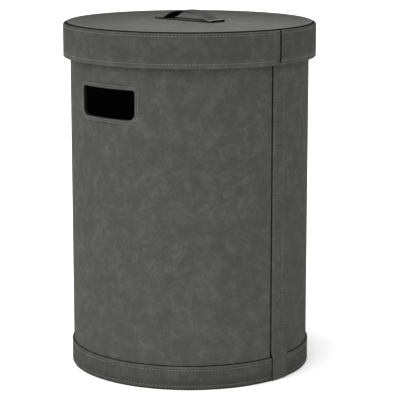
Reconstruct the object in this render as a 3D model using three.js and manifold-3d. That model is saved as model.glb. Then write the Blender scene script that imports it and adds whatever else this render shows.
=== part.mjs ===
// A round laundry hamper with a lift-off lid: faux leather sewn over fibreboard, with a dark lining.
// Millimetres, +Z up. The origin is the centre of the underside. The sewn seam is on the -Y side,
// the two hand-holes face -X and +X, and the lid's strap lies along Y.
import * as THREE from "three";
import { mergeVertices } from "three/addons/utils/BufferGeometryUtils.js";
import Module from "manifold-3d";

const wasm = await Module();
wasm.setup();

// ---- Overall sizes ----
const BODY_RADIUS = 188.8; // outside of the body's cover
const LID_TOP = 550; // top face of the lid above the floor
const SKIRT_DEPTH = 54.9; // the lid's top face to the skirt's lower edge
const BAND_HEIGHT = 36.9; // top edge of the base band above the floor

// ---- Sheet and board thicknesses ----
const GAP = 0.3; // glue line between touching layers
const COVER = 1.2; // faux leather
const LINING = 0.8; // non-woven lining
const HEM = 0.8; // skived leather where it is turned under the base
const WALL_BOARD = 3; // rolled board of the body
const SKIRT_BOARD = 3.5; // rolled board of the lid's skirt
const PANEL_BOARD = 4; // flat discs of the base and of the lid
const RING_BOARD = 0.8; // stiffener behind the base band

// ---- Lid ----
const LID_CLEARANCE = 3.2; // between the rim binding and the inside of the skirt
const GROOVE = 1.2; // sewn groove between the lid's top cover and its skirt cover
const SHOULDER_DROP = 2; // the skirt cover's shoulder lies this much below the lid's top face
const TOP_LIP = 3.5; // the top cover's edge, turned down inside the groove
const SKIRT_HEM = 12; // leather turned up inside the skirt
const LID_SEAM_ANGLE = -4.5; // degrees from -Y towards +X, where the skirt cover's ends meet
const LID_SEAM_WIDTH = 0.9;
const LID_SEAM_FOOT = 3.5; // the whole hem that is left under the lid's seam

// ---- Rim, base and seam ----
const BINDING_DEPTH = 14; // how far the rim binding reaches down the wall, inside and outside
const UNDERSIDE_HEM = 17.4; // leather of the base band turned in under the base
const STRIP_WIDTH = 36; // cover strip over the body's seam
const COVER_SLIT = 1; // between the two ends of the body's cover, under the strip
const EDGE_RADIUS = 0.8; // rounding of turned leather edges

// ---- Hand-holes ----
const HOLE_WIDTH = 108.5;
const HOLE_HEIGHT = 45.2;
const HOLE_DROP = 83.8; // rim to the hole's upper edge
const HOLE_TOP_CORNER = 4;
const HOLE_BOTTOM_CORNER = 11;
const FACING = 1; // leather turned through the hole
const FACING_FLANGE = 11; // and laid flat on the lining around it

// ---- Handle ----
const STRAP_WIDTH = 31;
const STRAP_THICKNESS = 1.8;
const STRAP_LENGTH = 123; // end to end, measured flat along the lid
const STRAP_SPAN = 92; // between the feet of the arch
const STRAP_HEIGHT = 16; // top of the arch above the lid's top face
const STRAP_FOOT_EASE = 0.8; // share of the half span where a leg starts to rise
const STRAP_CROWN_EASE = 0.74; // share of the half span where it reaches the crown
const PATCH_THICKNESS = 1.2;
const PATCH_CORNER = 2.5;

// ---- Facets ----
const SEGMENTS = 64; // round a full circle
const MARGIN = 10; // how far a cutting tool runs past what it cuts
const ARC_STEPS = 3; // round a quarter of a small edge
const STRAP_STEPS = 44; // along the strap

// ---- Radii, from the inside of the body outwards ----
const boardOuter = BODY_RADIUS - COVER - GAP;
const boardInner = boardOuter - WALL_BOARD;
const liningOuter = boardInner - GAP;
const liningInner = liningOuter - LINING;
const onCover = BODY_RADIUS + GAP; // where the band's stiffener, the binding and the strip lie
const bindingOuter = onCover + COVER;
const bandInner = onCover + RING_BOARD + GAP;
const bandOuter = bandInner + COVER;
const skirtInner = bindingOuter + LID_CLEARANCE;
const skirtBoardInner = skirtInner + COVER + GAP;
const skirtBoardOuter = skirtBoardInner + SKIRT_BOARD;
const skirtCoverInner = skirtBoardOuter + GAP;
const lidRadius = skirtCoverInner + COVER;
const topCoverRadius = skirtBoardInner - GAP;
const shoulderInner = topCoverRadius + GROOVE;
const shoulderRadius = lidRadius - shoulderInner; // rounding of the shoulder

// ---- Heights, from the floor up and from the lid's top face down ----
const boardFoot = HEM + GAP;
const baseBoardTop = boardFoot + PANEL_BOARD;
const liningFoot = baseBoardTop + GAP;
const lidBoardTop = LID_TOP - COVER - GAP;
const lidBoardFoot = lidBoardTop - PANEL_BOARD;
const lidLiningTop = lidBoardFoot - GAP;
const lidLiningFoot = lidLiningTop - LINING;
const rimTop = lidLiningFoot - GAP;
const wallTop = rimTop - COVER - GAP;
const skirtFoot = LID_TOP - SKIRT_DEPTH;
const shoulderTop = LID_TOP - SHOULDER_DROP;
const shoulderCentre = shoulderTop - shoulderRadius;
const holeTop = rimTop - HOLE_DROP;
const patchFoot = LID_TOP + GAP;
const strapFoot = patchFoot + PATCH_THICKNESS + GAP;

// ---- Helpers: turned rings, prisms and the booleans between them ----

// Points of an arc in [radius, height], from one angle to another in degrees.
function arc(centreR, centreZ, radius, from, to) {
  const points = [];
  for (let i = 0; i <= ARC_STEPS; i++) {
    const angle = THREE.MathUtils.degToRad(from + ((to - from) * i) / ARC_STEPS);
    points.push([centreR + radius * Math.cos(angle), centreZ + radius * Math.sin(angle)]);
  }
  return points;
}

// A profile of [radius, height] pairs turned about Z. Angle 0 is -Y and the angle grows towards +X.
function turned(profile) {
  const points = profile.map(([r, z]) => new THREE.Vector2(r, z));
  if (THREE.ShapeUtils.area(points) < 0) points.reverse();
  const closed = points.some((p) => p.x === 0) ? points : [...points, points[0]];
  return new THREE.LatheGeometry(closed, SEGMENTS).rotateX(Math.PI / 2);
}

function tube(inner, outer, foot, top) {
  return turned([[inner, foot], [outer, foot], [outer, top], [inner, top]]);
}

function disc(radius, foot, top) {
  return turned([[0, foot], [radius, foot], [radius, top], [0, top]]);
}

function block(width, depth, height, x, y, z) {
  return new THREE.BoxGeometry(width, depth, height).translate(x, y, z);
}

function solid(geometry) {
  const bare = geometry.index ? geometry.toNonIndexed() : geometry.clone();
  for (const name of Object.keys(bare.attributes)) {
    if (name !== "position") bare.deleteAttribute(name);
  }
  const merged = mergeVertices(bare, 1e-4);
  const mesh = new wasm.Mesh({
    numProp: 3,
    vertProperties: merged.getAttribute("position").array,
    triVerts: new Uint32Array(merged.index.array),
  });
  return new wasm.Manifold(mesh);
}

function geometryOf(manifold) {
  const { vertProperties, triVerts } = manifold.getMesh();
  const geometry = new THREE.BufferGeometry();
  geometry.setAttribute("position", new THREE.BufferAttribute(vertProperties, 3));
  geometry.setIndex(new THREE.BufferAttribute(triVerts, 1));
  return geometry;
}

// ---- Materials ----
const leather = new THREE.MeshStandardMaterial({ color: 0x5f605b, roughness: 0.85, metalness: 0 });
const lidLeather = new THREE.MeshStandardMaterial({ color: 0x666762, roughness: 0.85, metalness: 0 });
const nonWoven = new THREE.MeshStandardMaterial({ color: 0x1b1b1c, roughness: 0.95, metalness: 0 });
const fibreboard = new THREE.MeshStandardMaterial({ color: 0x8d7f6b, roughness: 0.9, metalness: 0 });

const hamper = new THREE.Group();
const lid = new THREE.Group();
hamper.add(lid);

function add(group, name, geometry, material) {
  const mesh = new THREE.Mesh(geometry, material);
  mesh.name = name;
  group.add(mesh);
}

// ---- Hand-holes: an opening with tight upper corners and wide lower ones ----

// A bar along X with the hole's outline grown by `grow` on every side. It passes through both walls.
function holeBar(grow, fromX, toX) {
  const halfWidth = HOLE_WIDTH / 2 + grow;
  const top = holeTop + grow;
  const foot = holeTop - HOLE_HEIGHT - grow;
  const upper = HOLE_TOP_CORNER + grow;
  const lower = HOLE_BOTTOM_CORNER + grow;
  const outline = new THREE.Shape();
  outline.moveTo(-halfWidth + lower, foot);
  outline.lineTo(halfWidth - lower, foot);
  outline.absarc(halfWidth - lower, foot + lower, lower, -Math.PI / 2, 0, false);
  outline.absarc(halfWidth - upper, top - upper, upper, 0, Math.PI / 2, false);
  outline.absarc(-halfWidth + upper, top - upper, upper, Math.PI / 2, Math.PI, false);
  outline.absarc(-halfWidth + lower, foot + lower, lower, Math.PI, Math.PI * 1.5, false);
  const bar = new THREE.ExtrudeGeometry(outline, {
    depth: toX - fromX,
    bevelEnabled: false,
    curveSegments: ARC_STEPS + 1,
  });
  // The outline's own X becomes the object's Y, its Y becomes Z, and the extrusion runs along X.
  return bar.rotateX(Math.PI / 2).rotateZ(Math.PI / 2).translate(fromX, 0, 0);
}

const pastWall = BODY_RADIUS + MARGIN;
const visibleHole = solid(holeBar(0, -pastWall, pastWall));
const boardHole = solid(holeBar(FACING + GAP, -pastWall, pastWall));

function holeFacing(side) {
  const ends = side < 0 ? [-pastWall, 0] : [0, pastWall];
  const flangeOuter = liningInner - GAP;
  const flangeInner = flangeOuter - FACING;
  const foot = holeTop - HOLE_HEIGHT - FACING_FLANGE - MARGIN;
  const top = holeTop + FACING_FLANGE + MARGIN;
  const sleeve = solid(tube(flangeInner, boardOuter, foot, top));
  const flange = solid(tube(flangeInner, flangeOuter, foot, top));
  const neck = sleeve.intersect(solid(holeBar(FACING, ...ends)));
  const plate = flange.intersect(solid(holeBar(FACING_FLANGE, ...ends)));
  return neck.add(plate).subtract(visibleHole);
}

// ---- Body ----
function bodyBoard() {
  return solid(tube(boardInner, boardOuter, boardFoot, wallTop)).subtract(boardHole);
}

function bodyCover() {
  const wall = solid(tube(BODY_RADIUS - COVER, BODY_RADIUS, boardFoot, wallTop));
  const slit = solid(block(COVER_SLIT, 2 * MARGIN, 2 * LID_TOP, 0, -BODY_RADIUS, 0));
  return wall.subtract(slit).subtract(visibleHole);
}

function bodyLining() {
  return solid(tube(liningInner, liningOuter, liningFoot, wallTop)).subtract(boardHole);
}

// The strip follows the wall, steps out over the base band and stops at the floor.
function seamStrip() {
  const overBand = bandOuter + GAP;
  const top = rimTop - BINDING_DEPTH - GAP;
  const step = BAND_HEIGHT + GAP;
  const profile = [
    [onCover, step],
    [onCover, top],
    [bindingOuter, top],
    [bindingOuter, step + COVER],
    [overBand + COVER, step + COVER],
    [overBand + COVER, GAP],
    [overBand, GAP],
    [overBand, step],
  ];
  const seamSide = block(STRIP_WIDTH, BODY_RADIUS, 2 * LID_TOP, 0, -BODY_RADIUS, 0);
  return solid(turned(profile)).intersect(solid(seamSide));
}

function rimBinding() {
  const inner = liningInner - GAP - COVER;
  const foot = rimTop - BINDING_DEPTH;
  return turned([
    [bindingOuter, foot],
    ...arc(bindingOuter - EDGE_RADIUS, rimTop - EDGE_RADIUS, EDGE_RADIUS, 0, 90),
    ...arc(inner + EDGE_RADIUS, rimTop - EDGE_RADIUS, EDGE_RADIUS, 90, 180),
    [inner, foot],
    [inner + COVER, foot],
    [inner + COVER, rimTop - COVER],
    [onCover, rimTop - COVER],
    [onCover, foot],
  ]);
}

function baseBand() {
  return turned([
    [bandOuter - UNDERSIDE_HEM, 0],
    ...arc(bandOuter - EDGE_RADIUS, EDGE_RADIUS, EDGE_RADIUS, -90, 0),
    ...arc(bandOuter - EDGE_RADIUS, BAND_HEIGHT - EDGE_RADIUS, EDGE_RADIUS, 0, 90),
    [onCover, BAND_HEIGHT],
    [onCover, BAND_HEIGHT - COVER],
    [bandInner, BAND_HEIGHT - COVER],
    [bandInner, HEM],
    [bandOuter - UNDERSIDE_HEM, HEM],
  ]);
}

add(hamper, "body_board", geometryOf(bodyBoard()), fibreboard);
add(hamper, "body_cover", geometryOf(bodyCover()), leather);
add(hamper, "body_lining", geometryOf(bodyLining()), nonWoven);
add(hamper, "hand_hole_facing_left", geometryOf(holeFacing(-1)), leather);
add(hamper, "hand_hole_facing_right", geometryOf(holeFacing(1)), leather);
add(hamper, "seam_strip", geometryOf(seamStrip()), leather);
add(hamper, "rim_binding", rimBinding(), leather);

// ---- Base ----
const ringBoardTop = BAND_HEIGHT - COVER - GAP;
const ringBoard = tube(onCover, onCover + RING_BOARD, boardFoot, ringBoardTop);
add(hamper, "base_board", disc(liningOuter, boardFoot, baseBoardTop), fibreboard);
add(hamper, "floor_lining", disc(liningInner - GAP, liningFoot, liningFoot + LINING), nonWoven);
add(hamper, "base_ring_board", ringBoard, fibreboard);
add(hamper, "base_band", baseBand(), leather);
add(hamper, "bottom_cover", disc(bandOuter - UNDERSIDE_HEM - GAP, 0, HEM), nonWoven);

// ---- Lid ----
function skirtBoard() {
  const edge = skirtBoardOuter - shoulderInner;
  const foot = skirtFoot + COVER + GAP;
  return turned([
    [skirtBoardInner, foot],
    [skirtBoardOuter, foot],
    ...arc(shoulderInner, shoulderCentre, edge, 0, 90),
    [skirtBoardInner, shoulderCentre + edge],
  ]);
}

// The skirt's cover starts at the groove, rounds the shoulder, runs down the outside, passes under
// the skirt and is turned up inside it. Its ends meet at the lid's seam, above the hem.
function skirtCover() {
  const ring = turned([
    [skirtInner, skirtFoot + SKIRT_HEM],
    ...arc(skirtInner + EDGE_RADIUS, skirtFoot + EDGE_RADIUS, EDGE_RADIUS, 180, 270),
    ...arc(lidRadius - COVER, skirtFoot + COVER, COVER, -90, 0),
    ...arc(shoulderInner, shoulderCentre, shoulderRadius, 0, 90),
    ...arc(shoulderInner, shoulderCentre, shoulderRadius - COVER, 90, 0),
    [skirtCoverInner, skirtFoot + COVER],
    [skirtInner + COVER, skirtFoot + COVER],
    [skirtInner + COVER, skirtFoot + SKIRT_HEM],
  ]);
  const slit = block(LID_SEAM_WIDTH, 2 * MARGIN, SKIRT_DEPTH, 0, -lidRadius, 0);
  slit.translate(0, 0, skirtFoot + LID_SEAM_FOOT + SKIRT_DEPTH / 2);
  slit.rotateZ(THREE.MathUtils.degToRad(LID_SEAM_ANGLE));
  return solid(ring).subtract(solid(slit));
}

// A disc whose edge is turned down between the lid board and the skirt board.
function topCover() {
  const lipInner = topCoverRadius - COVER;
  const lipFoot = LID_TOP - TOP_LIP;
  return turned([
    [0, lidBoardTop + GAP],
    [lipInner, lidBoardTop + GAP],
    [lipInner, lipFoot],
    [topCoverRadius, lipFoot],
    ...arc(topCoverRadius - EDGE_RADIUS, LID_TOP - EDGE_RADIUS, EDGE_RADIUS, 0, 90),
    [0, LID_TOP],
  ]);
}

add(lid, "lid_board", disc(topCoverRadius - COVER - GAP, lidBoardFoot, lidBoardTop), fibreboard);
add(lid, "lid_skirt_board", skirtBoard(), fibreboard);
add(lid, "lid_top_cover", topCover(), lidLeather);
add(lid, "lid_skirt_cover", geometryOf(skirtCover()), leather);
const skirtLiningOuter = skirtInner + COVER;
const skirtLiningInner = skirtLiningOuter - LINING;
const skirtLiningFoot = skirtFoot + SKIRT_HEM + GAP;
const skirtLining = tube(skirtLiningInner, skirtLiningOuter, skirtLiningFoot, lidLiningTop);
add(lid, "lid_lining", disc(skirtLiningInner - GAP, lidLiningFoot, lidLiningTop), nonWoven);
add(lid, "lid_skirt_lining", skirtLining, nonWoven);

// ---- Handle: a flat patch and an arched strap sewn to its ends ----
function handlePatch() {
  const x = STRAP_WIDTH / 2;
  const y = STRAP_LENGTH / 2;
  const r = PATCH_CORNER;
  const outline = new THREE.Shape();
  outline.absarc(x - r, -y + r, r, -Math.PI / 2, 0, false);
  outline.absarc(x - r, y - r, r, 0, Math.PI / 2, false);
  outline.absarc(-x + r, y - r, r, Math.PI / 2, Math.PI, false);
  outline.absarc(-x + r, -y + r, r, Math.PI, Math.PI * 1.5, false);
  const patch = new THREE.ExtrudeGeometry(outline, {
    depth: PATCH_THICKNESS,
    bevelEnabled: false,
    curveSegments: ARC_STEPS,
  });
  return patch.translate(0, 0, patchFoot);
}

// The middle line of the strap seen from the side: two flat tabs and an arch with an easy crown.
function strapLine() {
  const rise = LID_TOP + STRAP_HEIGHT - STRAP_THICKNESS - strapFoot;
  const foot = STRAP_SPAN / 2;
  const end = STRAP_LENGTH / 2;
  const line = new THREE.CurvePath();
  const low = foot * STRAP_FOOT_EASE;
  const high = foot * STRAP_CROWN_EASE;
  const at = (y, z) => new THREE.Vector2(y, strapFoot + STRAP_THICKNESS / 2 + z);
  line.add(new THREE.LineCurve(at(-end, 0), at(-foot, 0)));
  line.add(new THREE.CubicBezierCurve(at(-foot, 0), at(-low, 0), at(-high, rise), at(0, rise)));
  line.add(new THREE.CubicBezierCurve(at(0, rise), at(high, rise), at(low, 0), at(foot, 0)));
  line.add(new THREE.LineCurve(at(foot, 0), at(end, 0)));
  return line;
}

function handleStrap() {
  const points = strapLine().getSpacedPoints(STRAP_STEPS);
  const upper = [];
  const lower = [];
  points.forEach((point, i) => {
    const before = points[Math.max(i - 1, 0)];
    const after = points[Math.min(i + 1, points.length - 1)];
    const along = after.clone().sub(before).normalize();
    const across = new THREE.Vector2(-along.y, along.x).multiplyScalar(STRAP_THICKNESS / 2);
    upper.push(point.clone().add(across));
    lower.push(point.clone().sub(across));
  });
  const side = new THREE.Shape([...lower, ...upper.reverse()]);
  const strap = new THREE.ExtrudeGeometry(side, { depth: STRAP_WIDTH, bevelEnabled: false });
  // The side view's X becomes the object's Y, its Y becomes Z, and the width runs along X.
  return strap.rotateX(Math.PI / 2).rotateZ(Math.PI / 2).translate(-STRAP_WIDTH / 2, 0, 0);
}

add(lid, "handle_patch", handlePatch(), lidLeather);
add(lid, "handle_strap", handleStrap(), lidLeather);

export default hamper;
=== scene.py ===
# %% [markdown]
# A round laundry hamper with a lift-off lid.
# The real one is rolled fibreboard with grey faux leather sewn over it and a black felt lining.
# The frame below is the engineered model: its nodes say where every board, cover and strap lies.
# This lesson dresses it: each cover is made again as the thin, rolled and sewn sheet that it is,
# and each surface gets a finish made of nodes.

# %% Load the frame
import math

import bmesh
import bpy
from mathutils import Matrix, Vector


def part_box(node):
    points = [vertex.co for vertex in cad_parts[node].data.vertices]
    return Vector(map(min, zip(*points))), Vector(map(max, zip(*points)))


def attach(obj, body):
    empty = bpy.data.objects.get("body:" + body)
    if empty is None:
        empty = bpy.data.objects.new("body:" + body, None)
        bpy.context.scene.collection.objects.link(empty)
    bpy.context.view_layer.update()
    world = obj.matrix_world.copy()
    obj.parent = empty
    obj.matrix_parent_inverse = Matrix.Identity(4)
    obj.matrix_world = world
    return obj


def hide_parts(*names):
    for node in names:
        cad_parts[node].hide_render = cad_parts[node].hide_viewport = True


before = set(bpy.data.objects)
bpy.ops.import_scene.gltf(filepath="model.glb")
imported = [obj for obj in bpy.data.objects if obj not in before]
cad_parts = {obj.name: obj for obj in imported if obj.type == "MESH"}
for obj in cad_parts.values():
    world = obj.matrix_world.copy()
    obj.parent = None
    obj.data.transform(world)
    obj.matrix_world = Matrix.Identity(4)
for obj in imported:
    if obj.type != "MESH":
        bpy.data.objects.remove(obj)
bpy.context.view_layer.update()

# %% [markdown]
# Every turned piece is measured the same way: a radius, an angle and a height.
# The angle starts at the sewn seam, which faces -Y, and grows towards +X.
# Sizes are worked out in millimetres, as a maker would, and a mesh becomes metres when it is finished.

# %% Places on the hamper
MM = 0.001


def polar(radius, angle, height):
    """Point at that radius, angle and height."""
    return Vector((radius * math.sin(angle), -radius * math.cos(angle), height))


def measure(node):
    """Radius, lower and upper height of a CAD node, in millimetres."""
    low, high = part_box(node)
    return high.x / MM, low.z / MM, high.z / MM


COVER_RADIUS, COVER_FOOT, COVER_TOP = measure("body_cover")
BAND_RADIUS, _, BAND_TOP = measure("base_band")
BINDING_RADIUS, BINDING_FOOT, BINDING_TOP = measure("rim_binding")
LID_RADIUS, SKIRT_FOOT, SHOULDER_TOP = measure("lid_skirt_cover")
TOP_RADIUS, LIP_FOOT, LID_TOP = measure("lid_top_cover")
print(f"body {2 * COVER_RADIUS:.1f} mm across, lid {2 * LID_RADIUS:.1f} mm, top at {LID_TOP:.1f} mm")

# %% [markdown]
# The camera comes first, because everything else is judged through it.
# A long lens from almost three metres away keeps the upright sides nearly parallel.
# It stands to the left of the seam, so that one hand-hole and the seam strip both show.

# %% Camera
CAMERA_ANGLE = math.radians(-47.1)
CAMERA_DISTANCE = 2.7641
CAMERA_HEIGHT = 0.800
CAMERA_PITCH = math.radians(11.05)
CAMERA_TURN = math.radians(0.34)
CAMERA_LENS = 157.2
SENSOR_WIDTH = 36.0

scene = bpy.context.scene
camera_data = bpy.data.cameras.new("camera")
camera_data.lens = CAMERA_LENS
camera_data.sensor_width = SENSOR_WIDTH
camera = bpy.data.objects.new("camera", camera_data)
camera.location = polar(CAMERA_DISTANCE, CAMERA_ANGLE, CAMERA_HEIGHT)
camera.rotation_euler = (math.pi / 2 - CAMERA_PITCH, 0.0, CAMERA_ANGLE - CAMERA_TURN)
scene.collection.objects.link(camera)
scene.camera = camera
scene.view_settings.view_transform = "Standard"
print("camera at", [round(x, 3) for x in camera.location])

# %% [markdown]
# The light is a white room: an even white world, one large soft key from the left, and a
# pool of light on the front of the lid, where the real lid is brightest. A sun lamp with a
# wide angle is the plainest soft key, because it doesn't fade with distance. The pool hangs
# inside the lid's edge, so that it doesn't light the walls.

# %% Light
WORLD_WHITE = (1.0, 1.0, 1.0, 1.0)
WORLD_STRENGTH = 1.28
KEY_ANGLE = CAMERA_ANGLE - math.radians(60)
KEY_HEIGHT = math.radians(36)
KEY_STRENGTH = 2.6
KEY_SPREAD = math.radians(90)
POOL_POWER = 76.0
POOL_CONE = math.radians(31)
POOL_BLEND = 1.0
POOL_SOFTNESS = 0.06
POOL_PLACE = polar(0.08, CAMERA_ANGLE, 1.60)
POOL_TARGET = polar(0.15, CAMERA_ANGLE + math.radians(10), 0.55)


def add_lamp(name, kind, energy, place, target):
    """A lamp of one kind and strength, aimed at a point."""
    data = bpy.data.lights.new(name, kind)
    data.energy = energy
    lamp = bpy.data.objects.new(name, data)
    lamp.location = place
    lamp.rotation_euler = (target - place).to_track_quat("-Z", "Y").to_euler()
    scene.collection.objects.link(lamp)
    return lamp


world = bpy.data.worlds.new("white_room")
world.use_nodes = True
background = world.node_tree.nodes["Background"]
background.inputs["Color"].default_value = WORLD_WHITE
background.inputs["Strength"].default_value = WORLD_STRENGTH
scene.world = world

key_place = polar(math.cos(KEY_HEIGHT), KEY_ANGLE, math.sin(KEY_HEIGHT))
key = add_lamp("soft_key", "SUN", KEY_STRENGTH, key_place, Vector((0, 0, 0)))
key.data.angle = KEY_SPREAD
pool = add_lamp("lid_pool", "SPOT", POOL_POWER, POOL_PLACE, POOL_TARGET)
pool.data.spot_size = POOL_CONE
pool.data.spot_blend = POOL_BLEND
pool.data.shadow_soft_size = POOL_SOFTNESS
pool.visible_camera = False

# %% [markdown]
# Finishes are node trees. Small helpers keep them readable. The main one adds a node and feeds
# its inputs with numbers or with other nodes' outputs, and two start a node group and place it.
# What more than one finish needs is a group: it puts out colours, masks and heights only.

# %% Node helpers
def wire(tree, kind, inputs, **options):
    """Add a node, set its options, and feed its inputs with values or with other nodes' outputs."""
    node = tree.nodes.new(kind)
    for option, value in options.items():
        setattr(node, option, value)
    for socket, value in inputs.items():
        if isinstance(value, bpy.types.NodeSocket):
            tree.links.new(value, node.inputs[socket])
        else:
            node.inputs[socket].default_value = value
    return node


def reckon(tree, operation, first, second):
    """One sum of two values."""
    return wire(tree, "ShaderNodeMath", {0: first, 1: second}, operation=operation).outputs[0]


def remap(tree, value, low, high, new_low, new_high):
    """Stretch a value from one span to another and hold it there."""
    inputs = {"Value": value, "From Min": low, "From Max": high, "To Min": new_low, "To Max": new_high}
    return wire(tree, "ShaderNodeMapRange", inputs).outputs["Result"]


def blend_colours(tree, share, first, second):
    """Mix two colours by a mask."""
    return wire(tree, "ShaderNodeMix", {0: share, 6: first, 7: second}, data_type="RGBA").outputs[2]


def brighten(tree, colour, gain):
    """A colour made lighter or darker."""
    inputs = {0: colour, "Scale": gain}
    return wire(tree, "ShaderNodeVectorMath", inputs, operation="SCALE").outputs["Vector"]


def place_group(tree, group, inputs):
    """Put a node group in a tree with its own values."""
    return wire(tree, "ShaderNodeGroup", inputs, node_tree=group).outputs


def start_group(name, inputs, outputs):
    """A new node group with named sockets. Gives the tree, its inputs and its end node."""
    tree = bpy.data.node_groups.new(name, "ShaderNodeTree")
    for label, (kind, value) in inputs.items():
        socket = tree.interface.new_socket(name=label, in_out="INPUT", socket_type=kind)
        if value is not None:
            socket.default_value = value
    for label, kind in outputs.items():
        tree.interface.new_socket(name=label, in_out="OUTPUT", socket_type=kind)
    start = tree.nodes.new("NodeGroupInput")
    end = tree.nodes.new("NodeGroupOutput")
    return tree, start.outputs, end


VECTOR = "NodeSocketVector"
NUMBER = "NodeSocketFloat"
COLOUR = "NodeSocketColor"
MID_GREY = (0.5, 0.5, 0.5, 1.0)
print("node helpers ready")

# %% [markdown]
# Sueded faux leather isn't one grey. The nap lies this way and that, in soft clouds a few
# centimetres wide with smaller smudges inside them. Noise in the object's own space gives
# that all round a cylinder with no seam, where a flat pattern would need unwrapping.
# A power makes the light smudges sparse on an even, darker ground.

# %% Group: clouds in the nap
NAP_DETAIL = 2.5
NAP_ROUGHNESS = 0.55
CLOUD_WARP = 0.6
SMUDGE_WARP = 1.0
SMUDGE_FINENESS = 2.6
CLOUD_LOW, CLOUD_HIGH = 0.36, 0.64
SMUDGE_POWER = 1.7
SMUDGE_MEAN = 0.36
SMUDGE_SWING = 2.0


def nap_noise(tree, space, scale, warp):
    """Soft noise of one size."""
    inputs = {"Vector": space, "Scale": scale, "Distortion": warp}
    inputs.update({"Detail": NAP_DETAIL, "Roughness": NAP_ROUGHNESS})
    return wire(tree, "ShaderNodeTexNoise", inputs).outputs["Fac"]


def make_nap_clouds():
    inputs = {
        "Vector": (VECTOR, None),
        "Colour": (COLOUR, MID_GREY),
        "Cloud size": (NUMBER, 0.03),
        "Contrast": (NUMBER, 0.1),
    }
    tree, given, end = start_group("nap_clouds", inputs, {"Colour": COLOUR, "Cloud": NUMBER})
    scale = reckon(tree, "DIVIDE", 1.0, given["Cloud size"])
    broad = nap_noise(tree, given["Vector"], scale, CLOUD_WARP)
    finer = reckon(tree, "MULTIPLY", scale, SMUDGE_FINENESS)
    small = nap_noise(tree, given["Vector"], finer, SMUDGE_WARP)
    both = reckon(tree, "MULTIPLY", reckon(tree, "ADD", broad, small), 0.5)
    cloud = remap(tree, both, CLOUD_LOW, CLOUD_HIGH, 0.0, 1.0)
    smudge = reckon(tree, "POWER", reckon(tree, "SUBTRACT", 1.0, cloud), SMUDGE_POWER)
    swing = reckon(tree, "MULTIPLY", reckon(tree, "SUBTRACT", smudge, SMUDGE_MEAN), SMUDGE_SWING)
    gain = reckon(tree, "ADD", 1.0, reckon(tree, "MULTIPLY", swing, given["Contrast"]))
    tree.links.new(brighten(tree, given["Colour"], gain), end.inputs["Colour"])
    tree.links.new(cloud, end.inputs["Cloud"])
    return tree


nap_clouds = make_nap_clouds()
print("group", nap_clouds.name, "nodes:", len(nap_clouds.nodes))

# %% [markdown]
# Up close the surface is a short felted nap over a fine pebble. The height group adds a
# crisp small noise to a slightly larger cell pattern. The lining and the boards use it too,
# with other sizes.

# %% Group: fine grain
PEBBLE_SCALE = 0.45
PEBBLE_SOFTNESS = 0.6


def make_fine_grain():
    inputs = {"Vector": (VECTOR, None), "Grain size": (NUMBER, 0.001), "Pebble": (NUMBER, 0.5)}
    tree, given, end = start_group("fine_grain", inputs, {"Height": NUMBER})
    scale = reckon(tree, "DIVIDE", 1.0, given["Grain size"])
    nap = {"Vector": given["Vector"], "Scale": scale, "Detail": 2.0, "Roughness": 0.6}
    fine = wire(tree, "ShaderNodeTexNoise", nap).outputs["Fac"]
    cell_scale = reckon(tree, "MULTIPLY", scale, PEBBLE_SCALE)
    cells = {"Vector": given["Vector"], "Scale": cell_scale, "Smoothness": PEBBLE_SOFTNESS}
    pebble = wire(tree, "ShaderNodeTexVoronoi", cells, feature="SMOOTH_F1").outputs["Distance"]
    height = reckon(tree, "ADD", fine, reckon(tree, "MULTIPLY", pebble, given["Pebble"]))
    tree.links.new(height, end.inputs["Height"])
    return tree


fine_grain = make_fine_grain()
print("group", fine_grain.name, "nodes:", len(fine_grain.nodes))

# %% [markdown]
# Cut edges are dyed almost black. Creases, the bottoms of sewn grooves and undersides are
# painted almost black as shade, and the crest of a turned edge is painted lighter as a
# highlight. Each leather mesh carries that as one value per vertex, dye_and_painted_light_tone:
# -1 is dye and painted shade, 0 is plain and 1 is painted highlight. The group turns the value
# into colour, and breaks up the painted highlight with noise.

# %% Group: dyed edges, painted shade and painted highlights
DYE_AND_SHADE_BLACK = (0.006, 0.006, 0.005, 1.0)
PATCHES_PER_METRE = 160.0


def make_dye_and_painted_light_tones():
    inputs = {
        "Vector": (VECTOR, None),
        "Colour": (COLOUR, MID_GREY),
        "Tone": (NUMBER, 0.0),
        "Dye and shade": (COLOUR, DYE_AND_SHADE_BLACK),
        "Painted highlight": (NUMBER, 0.25),
    }
    tree, given, end = start_group("dye_and_painted_light_tones", inputs, {"Colour": COLOUR})
    patchy = {"Vector": given["Vector"], "Scale": PATCHES_PER_METRE, "Detail": 3.0, "Roughness": 0.6}
    patches = wire(tree, "ShaderNodeTexNoise", patchy).outputs["Fac"]
    breakup = remap(tree, patches, 0.35, 0.6, 0.35, 1.0)
    # The painted highlight: lighter where the value is above 0, broken up by the patches.
    painted_highlight = reckon(tree, "MULTIPLY", remap(tree, given["Tone"], 0.0, 1.0, 0.0, 1.0), breakup)
    gain = reckon(tree, "ADD", 1.0, reckon(tree, "MULTIPLY", painted_highlight, given["Painted highlight"]))
    # Dye and painted shade: towards the dark colour where the value is below 0.
    dye_and_shade = remap(tree, given["Tone"], -1.0, 0.0, 1.0, 0.0)
    colour = blend_colours(tree, dye_and_shade, brighten(tree, given["Colour"], gain), given["Dye and shade"])
    tree.links.new(colour, end.inputs["Colour"])
    return tree


dye_and_painted_light_tones = make_dye_and_painted_light_tones()
print("group", dye_and_painted_light_tones.name, "nodes:", len(dye_and_painted_light_tones.nodes))

# %% [markdown]
# The faux leather is matt, with hardly any gloss even at a glancing angle. Gloss and sheen are
# the same all over, so they are set on the shader's own sockets, and only what changes over
# the surface comes through the groups. Four helpers are shared by all the finishes: one
# starts a material, one adds the cloudy nap, and two make the grain and its bump.

# %% Finish: grey faux leather
LEATHER_GREY = (0.0484, 0.0494, 0.0441, 1.0)
SHEEN_ROUGHNESS = 0.5


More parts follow.
